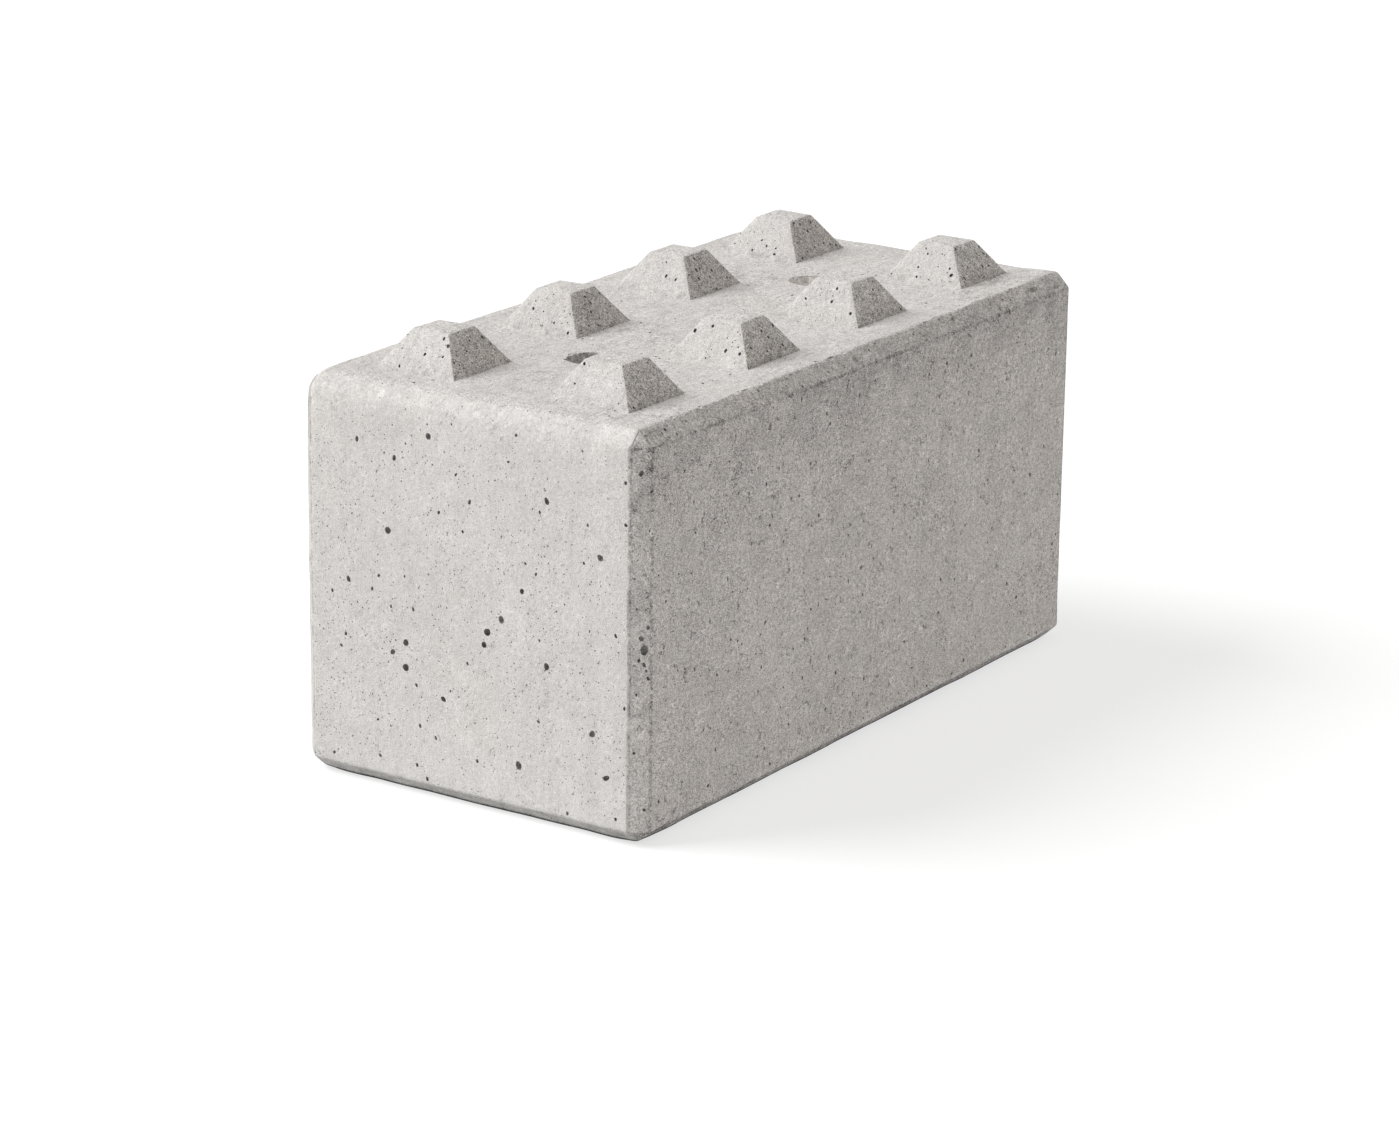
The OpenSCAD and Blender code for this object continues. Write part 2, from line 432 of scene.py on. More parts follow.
def makeHollow(name, base, rimLevel, level, patchy):
    # the inside of the bug holes and of the recesses, a little paler at the rim and at the given level from a
    # few millimetres down: painted shade in the bug holes, painted light in the pale recess
    material, shader = newMaterial(name, base, 0.95)
    t = paintTools(material)
    # depth below the nearest face or chamfer; a point on a stud counts as deep
    r = math.sqrt(0.5)
    depths = [t.math2("SUBTRACT", face, at) for face, at in ((halfX, t.ax), (halfY, t.ay), (topZ, t.z))]
    for u, v, reach in ((t.ax, t.ay, halfX + halfY), (t.ay, t.z, halfY + topZ), (t.ax, t.z, halfX + topZ)):
        depths.append(t.times(t.math2("SUBTRACT", reach - chamfer, t.math2("ADD", u, v)), r))
    depth = t.least(*depths)
    inside = t.math2("MAXIMUM", t.ramp(depth, 0.0006, 0.0030), t.ramp(t.z, topZ + 0.002, topZ + 0.004))
    grain = t.noise(t.where, 260, 3, 0.6)
    blotch = t.noise(t.where, 80, 3, 0.7)
    tone = t.total([(0.8 + 0.6 * patchy, grain), (patchy, blotch)])
    tone = t.math2("ADD", tone, t.ramp(inside, 0, 1, rimLevel, level))
    t.finish(shader, t.scaled(base, tone), t.times(grain, 0.003))
    return material


casting = {
    "chamfer": 0.030,
    "pitch": 0.400,  # between stud centres
    "studs": (4, 2),
    "studFoot": 0.093,  # half sides
    "studTop": 0.042,
    "studHeight": 0.074,
    "dome": 0.0015,  # how far the middle of a stud's top stands up
    "pocketMouth": 0.099,
    "pocketFloor": 0.0439,
    "pocketDepth": 0.080,
    "edgeSoftness": 0.0009,  # metres of rounding on the mould's sharp edges
    "edgeWobble": 0.0013,  # how far the chamfers wander in and out, over 0.060 m
    "wobbleCell": 0.060,
    "endSoftness": 0.0062,  # extra rounding along the top of the ends, from where to where below it
    "endReach": (0.16, 0.02),
    "endRise": (0.6, 0.76),
    "endClear": (0.035, 0.12),  # but not this near the front
    "footSoftness": 0.0024,  # extra rounding at the four corners on the ground, and how far it reaches
    "footReach": (0.050, 0.015),
    "studSoftness": 0.0012,
    "waves": ((0.0007, 0.16, 10), (0.00035, 0.045, 20)),  # how far the faces wander, over what length, seed
    "trowel": 0.0009,  # how far the top rises and falls
    "step": 0.018,  # widest grid cell
    "support": 0.0025,  # cells beside an edge
    "slopeSteps": 6,
}
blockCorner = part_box("concrete_block")[1]
halfX, halfY = blockCorner.x, blockCorner.y
chamfer = casting["chamfer"]


def rowOf(n):
    return (np.arange(n) - (n - 1) / 2) * casting["pitch"]


studXs, studYs = rowOf(casting["studs"][0]), rowOf(casting["studs"][1])


def gridLines(half, centres):
    # the top's lines and the bottom's: the same number, so that each wall column joins its own pair
    s = casting["support"]

    def breaksFor(foot):
        edges = [-half, -half + s, -half + 3 * s, half - 3 * s, half - s, half]
        for c in centres:
            edges += [c - foot, c - foot + s, c + foot - s, c + foot]
        return np.array(sorted(edges))

    topBreaks, lowBreaks = breaksFor(casting["studFoot"]), breaksFor(casting["pocketMouth"])
    counts = np.maximum(1, np.ceil(np.diff(topBreaks) / casting["step"] - 0.01)).astype(int)

    def fill(breaks):
        parts = [np.linspace(a, b, n, endpoint=False) for a, b, n in zip(breaks, breaks[1:], counts)]
        return np.append(np.concatenate(parts), breaks[-1])

    return fill(topBreaks), fill(lowBreaks)


topXs, lowXs = gridLines(halfX - chamfer, studXs)
topYs, lowYs = gridLines(halfY - chamfer, studYs)


def ringOf(xs, ys, z, inset):
    # one level of the wall, anticlockwise from above: four sides and four chamfered corners.
    # inset 0 gives the full octagon; inset 1 the rectangle where every chamfer has shrunk to a point
    share = np.array([0.08, 0.3, 0.5, 0.7, 0.92])
    grow = chamfer * (1 - inset)
    hx, hy = halfX - chamfer, halfY - chamfer

    def corner(x0, y0, x1, y1):
        return np.stack([x0 + (x1 - x0) * share, y0 + (y1 - y0) * share], axis=1)

    front = np.stack([xs, np.full_like(xs, -hy - grow)], axis=1)
    right = np.stack([np.full_like(ys, hx + grow), ys], axis=1)
    back = np.stack([xs[::-1], np.full_like(xs, hy + grow)], axis=1)
    left = np.stack([np.full_like(ys, -hx - grow), ys[::-1]], axis=1)
    ring = np.concatenate([
        front, corner(hx, -hy - grow, hx + grow, -hy),
        right, corner(hx + grow, hy, hx, hy + grow),
        back, corner(-hx, hy + grow, -hx - grow, hy),
        left, corner(-hx - grow, -hy, -hx, -hy - grow),
    ])
    return np.column_stack([ring, np.full(len(ring), z)])


def wallGrid():
    # straight lines from ring to ring: base, foot of the wall, head of the wall, top
    rings = [
        ringOf(lowXs, lowYs, 0.0, 1), ringOf(lowXs, lowYs, chamfer, 0),
        ringOf(topXs, topYs, topZ - chamfer, 0), ringOf(topXs, topYs, topZ, 1),
    ]
    s = casting["support"]
    wall = topZ - 2 * chamfer
    slope = np.array([0, 0.08, 0.3, 0.5, 0.7, 0.92])
    middle = np.linspace(4 * s, wall - 4 * s, int(wall / casting["step"]))
    levels = np.concatenate([[0, s], middle, [wall - s]]) / wall
    rows = []
    for (a, b), shares in zip(zip(rings, rings[1:]), (slope, levels, slope)):
        rows.append(a + (b - a) * shares[:, None, None])
    rows.append(rings[3][None])
    return np.concatenate(rows)


def roundOff(p, normals, offsets, softness):
    # every point moves inwards, along the blended normal, by the soft maximum of its distances
    # outside the planes: nothing on a flat face, a little along an edge, more in a corner
    soft = np.broadcast_to(softness, p.shape[:-1])
    weight = np.exp(np.minimum((p @ normals.T - offsets) / soft[..., None], 20))
    way = weight @ normals
    way /= np.linalg.norm(way, axis=-1, keepdims=True)
    return p - way * (soft * np.log(weight.sum(axis=-1)))[..., None]


def blockPlanes():
    # the six faces, twelve chamfers and eight corners of the block, as normals and offsets
    signs = np.array([(i, j, k) for i in (-1, 0, 1) for j in (-1, 0, 1) for k in (-1, 0, 1) if i or j or k])
    size = np.linalg.norm(signs, axis=1)
    normals = signs / size[:, None]
    cut = chamfer * (np.abs(signs).sum(axis=1) - 1)
    offsets = ((np.abs(signs) * np.array([halfX, halfY, topZ / 2])).sum(axis=1) - cut) / size
    return normals, offsets + normals @ np.array([0, 0, topZ / 2])


def gridFaces(rows, columns, start, wrap=False):
    # quads of a grid whose points run along the columns first
    i = np.arange(rows - 1)[:, None] * columns
    j = np.arange(columns if wrap else columns - 1)[None, :]
    k = (j + 1) % columns
    return np.stack([i + j, i + k, i + columns + k, i + columns + j], axis=-1).reshape(-1, 4) + start


def flatGrid(xs, ys, z):
    x, y = np.meshgrid(xs, ys)
    return np.stack([x, y, np.full_like(x, z)], axis=-1).reshape(-1, 3)


def pyramid(xs, ys, z, height, shrink):
    # square rings that close in towards the middle as they climb, then a flat grid on top
    middle = np.array([(xs[0] + xs[-1]) / 2, (ys[0] + ys[-1]) / 2])
    loop = np.concatenate([
        np.stack([xs[:-1], np.full(len(xs) - 1, ys[0])], axis=1),
        np.stack([np.full(len(ys) - 1, xs[-1]), ys[:-1]], axis=1),
        np.stack([xs[:0:-1], np.full(len(xs) - 1, ys[-1])], axis=1),
        np.stack([np.full(len(ys) - 1, xs[0]), ys[:0:-1]], axis=1),
    ])
    shares = np.concatenate([[0, 0.03], np.linspace(0.1, 0.9, casting["slopeSteps"]), [0.97, 1]])
    scale = 1 + (shrink - 1) * shares
    rings = middle + (loop - middle)[None] * scale[:, None, None]
    climb = np.broadcast_to((z + height * shares)[:, None, None], rings.shape[:2] + (1,))
    rings = np.concatenate([rings, climb], axis=-1).reshape(-1, 3)
    lid = flatGrid(middle[0] + (xs - middle[0]) * shrink, middle[1] + (ys - middle[1]) * shrink, z + height)
    faces = np.concatenate([gridFaces(len(shares), len(loop), 0, wrap=True),
                            gridFaces(len(ys), len(xs), len(rings))])
    return np.concatenate([rings, lid]), faces


def roundStud(p, cx, cy):
    # the stud's four slopes and its top, rounded off everywhere but at the foot; then the dome
    foot, top, height = casting["studFoot"], casting["studTop"], casting["studHeight"]
    lean = np.array([height, foot - top]) / math.hypot(height, foot - top)
    slopes = [[i * lean[0], j * lean[0], lean[1]] for i, j in ((-1, 0), (1, 0), (0, -1), (0, 1))]
    normals = np.array(slopes + [[0, 0, 1]])
    q = p - np.array([cx, cy, topZ])
    offsets = np.array([foot * lean[0]] * 4 + [height])
    soft = roundOff(q, normals, offsets, casting["studSoftness"])
    free = smoothStep(q[:, 2:3], 0, 0.010)
    q = q + (soft - q) * free
    r = np.maximum(np.abs(q[:, 0]), np.abs(q[:, 1])) / top
    q[:, 2] += casting["dome"] * (1 - np.minimum(r, 1) ** 2)
    return q + np.array([cx, cy, topZ])


def wander(p):
    # the faces of a real casting aren't quite flat: each point moves by slow noises; the underside
    # stays put, and the top, studs and all, rises and falls with the trowel
    push = np.zeros_like(p)
    for size, cell, seed in casting["waves"]:
        push += np.stack([size * softNoise(p, cell, seed + i) for i in range(3)], axis=-1)
    push[:, 2] *= smoothStep(p[:, 2], 0.0, 0.05)
    flat = p * np.array([1, 1.6, 0])
    rise = casting["trowel"] * (softNoise(flat, 0.11, 31) + 0.5 * softNoise(flat, 0.04, 32))
    push[:, 2] += rise * smoothStep(p[:, 2], topZ - chamfer, topZ)
    return p + push


def softenShell(shell):
    # the mould's edges are crisp, but the trowelled top edge of the ends is worn round, and so are the
    # corners on the ground; each chamfer wobbles in and out by a noise
    clear = smoothStep(shell[:, 1], *(np.array(casting["endClear"]) - halfY))
    atEnd = smoothStep(np.abs(shell[:, 0]), *(halfX - np.array(casting["endReach"])))
    atEnd = atEnd * smoothStep(shell[:, 2], *casting["endRise"])
    patchy = 0.75 + 0.25 * softNoise(shell, 0.07, 5)
    softness = casting["edgeSoftness"] + casting["endSoftness"] * atEnd * patchy * clear
    corner = np.array([halfX - chamfer, halfY - chamfer, 0])
    toCorner = np.linalg.norm(np.abs(shell) - corner, axis=1)
    softness = softness + casting["footSoftness"] * smoothStep(toCorner, *casting["footReach"])
    normals, offsets = blockPlanes()
    isChamfer = np.abs(np.abs(normals).max(axis=1) - math.sqrt(0.5)) < 0.01
    wobble = casting["edgeWobble"] * (softNoise(shell, casting["wobbleCell"], 6) - 0.3)
    return roundOff(shell, normals, offsets + wobble[:, None] * isChamfer, softness)


def castingMesh():
    # the walls, the top and the underside as one grid each, with a pyramid in place of the grid's cells
    # at every stud and every pocket
    wall = wallGrid()
    shell = np.concatenate([wall.reshape(-1, 3), flatGrid(topXs, topYs, topZ), flatGrid(lowXs, lowYs, 0)])
    points = [softenShell(shell)]
    faces = [gridFaces(wall.shape[0], wall.shape[1], 0, wrap=True)]
    nWall = wall.shape[0] * wall.shape[1]
    nTop = len(topXs) * len(topYs)
    start = len(shell)
    for xs, ys, foot, first, up in ((topXs, topYs, casting["studFoot"], nWall, True),
                                    (lowXs, lowYs, casting["pocketMouth"], nWall + nTop, False)):
        middles = flatGrid((xs[1:] + xs[:-1]) / 2, (ys[1:] + ys[:-1]) / 2, 0)
        covered = np.zeros(len(middles), bool)
        for cx in studXs:
            for cy in studYs:
                covered |= np.maximum(np.abs(middles[:, 0] - cx), np.abs(middles[:, 1] - cy)) < foot
                sx = xs[np.abs(xs - cx) < foot + 1e-6]
                sy = ys[np.abs(ys - cy) < foot + 1e-6]
                if up:
                    p, f = pyramid(sx, sy, topZ, casting["studHeight"], casting["studTop"] / foot)
                    p = roundStud(p, cx, cy)
                else:
                    p, f = pyramid(sx, sy, 0, casting["pocketDepth"], casting["pocketFloor"] / foot)
                    f = f[:, ::-1]
                points.append(p)
                faces.append(f + start)
                start += len(p)
        grid = gridFaces(len(ys), len(xs), first)[~covered]
        faces.append(grid if up else grid[:, ::-1])
    mesh = meshFrom("casting", wander(np.concatenate(points)), faces)
    openEdges = reworked(mesh, lambda form: bmesh.ops.remove_doubles(form, verts=form.verts, dist=1e-5))
    print("casting:", len(mesh.vertices), "points,", openEdges, "open edges")
    return mesh


def reworked(mesh, work):
    # runs work on the mesh, and counts the edges that are then open
    form = bmesh.new()
    form.from_mesh(mesh)
    work(form)
    openEdges = sum(not e.is_manifold for e in form.edges)
    form.to_mesh(mesh)
    form.free()
    return openEdges


def meshFrom(name, points, faceList):
    mesh = bpy.data.meshes.new(name)
    mesh.from_pydata(points.tolist(), [], [tuple(f) for faces in faceList for f in faces.tolist()])
    return mesh


def lumps(centres, acrossA, acrossB, outward, sizes, rings, spokes, roughness, seed):
    # closed pebbles: a sphere's grid of rings and spokes, stretched along three axes, its radius varied by
    # three waves round it; the poles come last
    rng = np.random.default_rng(seed)
    n = len(centres)
    phi = np.linspace(0, math.pi, rings + 1)[1:-1]
    theta = np.arange(spokes) * 2 * math.pi / spokes
    f, t = np.meshgrid(phi, theta, indexing="ij")
    ball = np.stack([np.sin(f) * np.cos(t), np.sin(f) * np.sin(t), np.cos(f)], axis=-1)
    waves = np.zeros((n,) + f.shape)
    for k in (1, 2, 3):
        size = rng.uniform(-1, 1, (n, 1, 1)) * roughness / k
        waves += size * np.sin(k * t + rng.uniform(0, 6.3, (n, 1, 1))) * np.sin(f)
    axes = np.stack([acrossA, acrossB, outward], axis=1) * sizes[:, :, None]
    body = np.einsum("rsk,nkc->nrsc", ball, axes) * (1 + waves)[..., None] + centres[:, None, None, :]
    poles = np.stack([centres + axes[:, 2], centres - axes[:, 2]], axis=1)
    points = np.concatenate([body.reshape(n, -1, 3), poles], axis=1)
    per = points.shape[1]
    starts = np.arange(n)[:, None, None] * per
    quads = gridFaces(rings - 1, spokes, 0, wrap=True)[:, ::-1]
    j = np.arange(spokes)
    k = (j + 1) % spokes
    last = (rings - 2) * spokes
    caps = np.concatenate([
        np.stack([k, j, np.full(spokes, per - 2)], axis=1),
        np.stack([last + j, last + k, np.full(spokes, per - 1)], axis=1),
    ])
    return points.reshape(-1, 3), (quads[None] + starts).reshape(-1, 4), (caps[None] + starts).reshape(-1, 3)


def cutWith(piece, name, lumpSets, inside):
    # one boolean takes a whole set of pebbles out of the casting
    points, quads, tris, start = [], [], [], 0
    for p, q, t in lumpSets:
        points.append(p)
        quads.append(q + start)
        tris.append(t + start)
        start += len(p)
    mesh = meshFrom(name, np.concatenate(points), quads + tris)
    reworked(mesh, lambda form: bmesh.ops.recalc_face_normals(form, faces=form.faces))
    mesh.materials.append(inside)
    tool = newObject(name, mesh)
    cut = piece.modifiers.new(name, "BOOLEAN")
    cut.operation, cut.solver, cut.object = "DIFFERENCE", "MANIFOLD", tool
    cut.material_mode = "TRANSFER"
    graph = bpy.context.evaluated_depsgraph_get()
    result = bpy.data.meshes.new_from_object(piece.evaluated_get(graph))
    piece.modifiers.clear()
    old = piece.data
    piece.data = result
    bpy.data.meshes.remove(old)
    bpy.data.objects.remove(tool)
    bpy.data.meshes.remove(mesh)
    print(name, "cut:", len(result.vertices), "points,", len(result.polygons), "faces")


def dropFlakes(mesh):
    # a cut can leave a flake, two faces back to back on the same points: both go
    def work(form):
        onPoints = {}
        for face in form.faces:
            onPoints.setdefault(frozenset(v.index for v in face.verts), []).append(face)
        flakes = [face for same in onPoints.values() if len(same) > 1 for face in same]
        bmesh.ops.delete(form, geom=flakes, context="FACES")
        print("flakes dropped:", len(flakes), "faces")

    print("open edges:", reworked(mesh, work))


bubbles = {
    # face: number of holes, smallest and largest radius in metres, how fast the sizes thin out
    "left": (125, 0.0012, 0.0042, 3.0),
    "right": (150, 0.0012, 0.0068, 3.8),
    "front": (560, 0.0013, 0.0044, 3.4),
    "back": (280, 0.0013, 0.0050, 3.4),
    "top": (260, 0.0012, 0.0040, 2.4),
    "studs": (440, 0.0014, 0.0040, 1.8),
    "chamfers": (110, 0.0012, 0.0040, 3.0),
    "gap": 0.0012,  # least distance between two holes' rims
    "coarse": 0.0026,  # radius below which a hole gets fewer faces
    "roughness": 0.22,
    "swell": 1.2,  # how much larger than listed the large ones are
    # the largest holes of the left end: share of the width from the back, share of the height, radius in mm
    "large": [
        (0.39, 0.90, 5.6), (0.29, 0.83, 4.6), (0.18, 0.86, 4.4), (0.73, 0.80, 5.2), (0.51, 0.76, 4.0),
        (0.27, 0.65, 6.0), (0.15, 0.51, 4.6), (0.88, 0.69, 6.0), (0.66, 0.57, 5.0), (0.60, 0.49, 5.5),
        (0.56, 0.45, 6.5), (0.55, 0.42, 5.6), (0.32, 0.38, 6.0), (0.28, 0.35, 5.5), (0.32, 0.32, 7.0),
        (0.73, 0.40, 5.5), (0.43, 0.26, 5.3), (0.86, 0.26, 6.0), (0.65, 0.14, 6.8), (0.90, 0.16, 5.5),
        (0.47, 0.82, 3.0), (0.42, 0.72, 3.0), (0.71, 0.77, 2.8), (0.95, 0.88, 3.0), (0.95, 0.78, 3.2),
        (0.67, 0.64, 3.0), (0.70, 0.62, 2.8), (0.10, 0.47, 3.0), (0.14, 0.37, 3.4), (0.71, 0.46, 2.8),
        (0.35, 0.28, 3.2), (0.36, 0.18, 3.2), (0.10, 0.06, 3.2), (0.24, 0.08, 3.4), (0.38, 0.05, 3.6),
        (0.79, 0.05, 3.4), (0.95, 0.34, 3.2),
    ],
    # and those of the near upright chamfer: place, radius in mm
    "corner": [
        (-0.780, -0.390, 0.386, 7.0), (-0.784, -0.386, 0.408, 3.8), (-0.787, -0.383, 0.366, 3.2),
        (-0.785, -0.385, 0.723, 4.4), (-0.777, -0.393, 0.345, 2.6), (-0.790, -0.380, 0.300, 2.6),
    ],
}


def frameOf(outward):
    # two directions across each outward normal
    ref = np.where(np.abs(outward[:, 2:3]) < 0.9, np.array([[0.0, 0, 1]]), np.array([[1.0, 0, 0]]))
    a = np.cross(ref, outward)
    a /= np.linalg.norm(a, axis=1, keepdims=True)
    return a, np.cross(outward, a)


def keepApart(spots, reach, share, gap=0.0):
    # spots come largest first; one that is too near a kept one is dropped
    keep = np.ones(len(spots), bool)
    for i in range(1, len(spots)):
        d = np.linalg.norm(spots[:i] - spots[i], axis=1)
        keep[i] = not (keep[:i] & (d < share * (reach[:i] + reach[i]) + gap)).any()
    return keep


def nearStud(p, room):
    near = np.zeros(len(p), bool)
    for cx in studXs:
        for cy in studYs:
            near |= np.maximum(np.abs(p[:, 0] - cx), np.abs(p[:, 1] - cy)) < casting["studFoot"] + room
    return near


def drawHoles(rng, face, p, normals):
    # radii that follow a falling power of a random number
    small, large, fall = bubbles[face][1:]
    return p, np.broadcast_to(normals, p.shape), small + (large - small) * rng.random(len(p)) ** fall


def faceHoles(rng, face, axis, place):
    # random places on an upright face, inside its chamfers; axis is the one that the face looks along
    n = bubbles[face][0]
    reach = (halfX, halfY)[1 - axis] - chamfer
    p = np.zeros((n, 3))
    p[:, axis] = place
    p[:, 1 - axis] = rng.uniform(-reach, reach, n)
    p[:, 2] = rng.uniform(chamfer, topZ - chamfer, n)
    return drawHoles(rng, face, p, np.sign(place) * np.eye(3)[axis])


def placedHoles():
    large, corner = np.array(bubbles["large"]), np.array(bubbles["corner"])
    p = np.stack([np.full(len(large), -halfX), halfY * (1 - 2 * large[:, 0]), topZ * large[:, 1]], axis=1)
    r = math.sqrt(0.5)
    scale = bubbles["swell"] / 1000
    return [(p, np.tile([-1.0, 0, 0], (len(p), 1)), large[:, 2] * scale),
            (corner[:, :3], np.tile([-r, -r, 0], (len(corner), 1)), corner[:, 3] * scale)]


def topHoles(rng):
    n = bubbles["top"][0]
    hx, hy = halfX - chamfer, halfY - chamfer
    p = np.stack([rng.uniform(-hx, hx, n), rng.uniform(-hy, hy, n), np.full(n, topZ)], axis=1)
    near = nearStud(p, 0.006)
    for x in recessXs:
        near |= np.hypot(p[:, 0] - x, p[:, 1]) < recess["radius"] + 0.008
    return drawHoles(rng, "top", p[~near], np.array([0, 0, 1.0]))


def studHoles(rng):
    # each slope is a trapezium, so the width shrinks with the height
    foot, top, height = casting["studFoot"], casting["studTop"], casting["studHeight"]
    lean = np.array([height, foot - top]) / math.hypot(height, foot - top)
    n = bubbles["studs"][0]
    centre = np.stack([rng.choice(studXs, n), rng.choice(studYs, n)], axis=1)
    share = rng.uniform(0.06, 0.94, n)
    out = foot + (top - foot) * share
    along = rng.uniform(-0.93, 0.93, n) * out
    turn = rng.integers(0, 4, n) * math.pi / 2
    c, s = np.round(np.cos(turn)), np.round(np.sin(turn))
    p = np.stack([centre[:, 0] + c * out - s * along, centre[:, 1] + s * out + c * along,
                  topZ + share * height], axis=1)
    return drawHoles(rng, "studs", p, np.stack([c * lean[0], s * lean[0], np.full(n, lean[1])], axis=1))


def chamferHoles(rng):
    # the long top chamfers, then the four upright ones
    n = bubbles["chamfers"][0]
    hx, r = halfX - chamfer, math.sqrt(0.5)
    t = rng.uniform(0.1, 0.9, n) * chamfer
    side = rng.choice([-1, 1], n)
    p = np.stack([rng.uniform(-hx, hx, n), side * (halfY - t), topZ - chamfer + t], axis=1)
    top = drawHoles(rng, "chamfers", p, np.stack([0 * side, r * side, r + 0 * side], axis=1))
    end = rng.choice([-1, 1], n)
    p = np.stack([end * (halfX - t), side * (halfY - chamfer + t),
                  rng.uniform(chamfer, topZ - chamfer, n)], axis=1)
    return [top, drawHoles(rng, "chamfers", p, np.stack([r * end, r * side, 0 * side], axis=1))]


def bubbleSpots(seed):
    rng = np.random.default_rng(seed)
    sets = [faceHoles(rng, "left", 0, -halfX), faceHoles(rng, "right", 0, halfX), *placedHoles(),
            faceHoles(rng, "front", 1, -halfY), faceHoles(rng, "back", 1, halfY),
            topHoles(rng), studHoles(rng), *chamferHoles(rng)]
    spots, normals, radii = (np.concatenate(part) for part in zip(*sets))
    order = np.argsort(-radii)
    spots, normals, radii = spots[order], normals[order], radii[order]
    keep = keepApart(spots, radii, 1.5, bubbles["gap"])
    return spots[keep], normals[keep], radii[keep]


def bubbleLumps(seed):
    # each hole is a pebble of its own stretch and turn, sunk by about its radius; small ones are coarser
    spots, normals, radii = bubbleSpots(seed)
    rng = np.random.default_rng(seed + 1)
    n = len(spots)
    a, b = frameOf(normals)
    turn = rng.normal(0, 0.5, n)[:, None]
    a, b = a * np.cos(turn) + b * np.sin(turn), b * np.cos(turn) - a * np.sin(turn)
    sizes = radii[:, None] * np.stack([
        rng.uniform(0.8, 1.05, n), rng.uniform(1.0, 1.35, n), rng.uniform(0.8, 1.15, n)], axis=1)
    centres = spots - normals * (0.001 + radii * rng.uniform(-0.1, 0.25, n))[:, None]
    sets = []
    small = radii < bubbles["coarse"]
    for few, rings, spokes in ((small, 4, 6), (~small, 6, 10)):
        sets.append(lumps(centres[few], a[few], b[few], normals[few], sizes[few], rings, spokes,
                          bubbles["roughness"], seed + 2 + rings))
    print("bug holes:", n)
    return sets


chips = {
    # edges: chips per metre, then half sizes in metres along the edge, across it and into it
    "longTop": (30, (0.003, 0.0170), (0.0020, 0.0070), (0.0018, 0.0056)),
    "longLine": (28, (0.002, 0.0120), (0.0015, 0.0050), (0.0013, 0.0038)),
    "upright": (26, (0.0015, 0.0050), (0.0012, 0.0028), (0.0012, 0.0024)),
    "endTop": (14, (0.003, 0.0100), (0.0020, 0.0050), (0.0012, 0.0024)),
    "foot": (18, (0.002, 0.0080), (0.0012, 0.0034), (0.0012, 0.0030)),
    "studs": (22, (0.001, 0.0034), (0.0010, 0.0020), (0.0009, 0.0018)),
    "roughness": 0.35,
    # round each recess: how many, then the same half sizes
    "rim": (16, (0.003, 0.0090), (0.0020, 0.0060), (0.0015, 0.0045)),
    # single bruises on the long top chamfers: place, and half sizes along the edge, across it and into it
    "bruises": [
        ((-0.050, -0.386, 0.786), (0.014, 0.0090, 0.0060)), ((0.330, -0.382, 0.789), (0.011, 0.0075, 0.0055)),
        ((0.500, -0.394, 0.777), (0.010, 0.0070, 0.0050)), ((0.525, -0.380, 0.792), (0.009, 0.0080, 0.0060)),
        ((0.645, -0.384, 0.787), (0.015, 0.0080, 0.0060)), ((0.735, -0.392, 0.779), (0.012, 0.0070, 0.0050)),
        ((-0.420, -0.384, 0.787), (0.010, 0.0070, 0.0045)), ((0.200, 0.385, 0.786), (0.012, 0.0080, 0.0055)),
        ((-0.510, 0.387, 0.783), (0.011, 0.0075, 0.0050)),
    ],
}


def chipEdges():
    # every edge that can chip: kind, both ends, and which way is outwards
    hx, hy, c = halfX - chamfer, halfY - chamfer, chamfer
    a, b = math.sin(math.pi / 8), math.cos(math.pi / 8)
    edges = []
    for j in (-1, 1):
        edges.append(("longTop", (-hx, j * hy, topZ), (hx, j * hy, topZ), (0, j * a, b)))
        edges.append(("longLine", (-hx, j * halfY, topZ - c), (hx, j * halfY, topZ - c), (0, j * b, a)))
        edges.append(("foot", (-hx, j * halfY, c), (hx, j * halfY, c), (0, j * b, -a)))
        edges.append(("foot", (j * halfX, -hy, c), (j * halfX, hy, c), (j * b, 0, -a)))
        edges.append(("endTop", (j * halfX, -hy, topZ - c), (j * halfX, hy, topZ - c), (j * b, 0, a)))
        edges.append(("endTop", (j * hx, -hy, topZ), (j * hx, hy, topZ), (j * a, 0, b)))
        for i in (-1, 1):
            for x, y, out in ((i * hx, j * halfY, (i * a, j * b, 0)), (i * halfX, j * hy, (i * b, j * a, 0))):
                edges.append(("upright", (x, y, c), (x, y, topZ - c), out))
    foot, top, high = casting["studFoot"], casting["studTop"], topZ + casting["studHeight"]
    for x in studXs:
        for y in studYs:
            for i, j in ((-1, -1), (1, -1), (1, 1), (-1, 1)):
                low, up = (x + i * foot, y + j * foot, topZ), (x + i * top, y + j * top, high)
                edges.append(("studs", low, up, (0.55 * i, 0.55 * j, 0.63)))
                following = (x - j * top, y + i * top, high)
                edges.append(("studs", up, following, (0.22 * (i - j), 0.22 * (i + j), 0.9)))
    return edges


def drawSizes(rng, ranges, n, fall):
    # half sizes that follow a falling power of a random number
    return np.stack([small + (large - small) * rng.random(n) ** fall for small, large in ranges], axis=1)


def edgeChips(rng, kind, low, up, out):
    # a random number of chips along one edge, each out by a random share of its depth
    perMetre, *ranges = chips[kind]
    low, up, out = np.array(low), np.array(up), np.array(out)
    length = np.linalg.norm(up - low)
    n = rng.poisson(perMetre * length)
    t = rng.uniform(0.03, 0.97, n)[:, None]
    sizes = drawSizes(rng, ranges, n, 2.2)
    spots = low + (up - low) * t + out * sizes[:, 2:] * rng.uniform(0.0, 0.45, (n, 1))
    return spots, np.tile((up - low) / length, (n, 1)), np.tile(out / np.linalg.norm(out), (n, 1)), sizes


